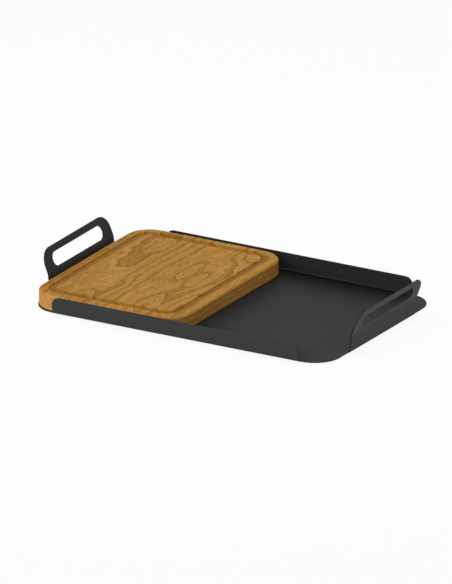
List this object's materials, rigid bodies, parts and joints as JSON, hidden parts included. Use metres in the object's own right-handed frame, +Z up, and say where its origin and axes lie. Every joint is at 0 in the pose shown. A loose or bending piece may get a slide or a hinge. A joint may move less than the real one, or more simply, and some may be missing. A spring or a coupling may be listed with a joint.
{
  "type": "serving tray with cutting board",
  "caption": "Bent sheet-steel serving tray with low side flanges and upright end handles; a grooved wooden cutting board rests in it and lifts out.",
  "frame": {"origin": "on the table, below the centre of the tray, level with the underside of the pads", "axes": "+X along the tray's long side from one handle to the other, away from the end where the board rests; +Y across the tray to the back flange; +Z up"},
  "size_m": [0.5772, 0.3608, 0.0703],
  "materials": {
    "powder_coated_steel": "fine-textured matt powder coat",
    "oiled_wood": "sanded and oiled",
    "pad_rubber": "matt"
  },
  "bodies": {
    "tray": {"tray_sheet": "powder_coated_steel", "non_slip_pads": "pad_rubber"},
    "board": {"cutting_board": "oiled_wood"}
  },
  "joints": [
    {"name": "board_lift", "type": "slide", "parent": "tray", "child": "board", "axis": [0, 0, 1], "range_m": [0, 0.1]}
  ]
}
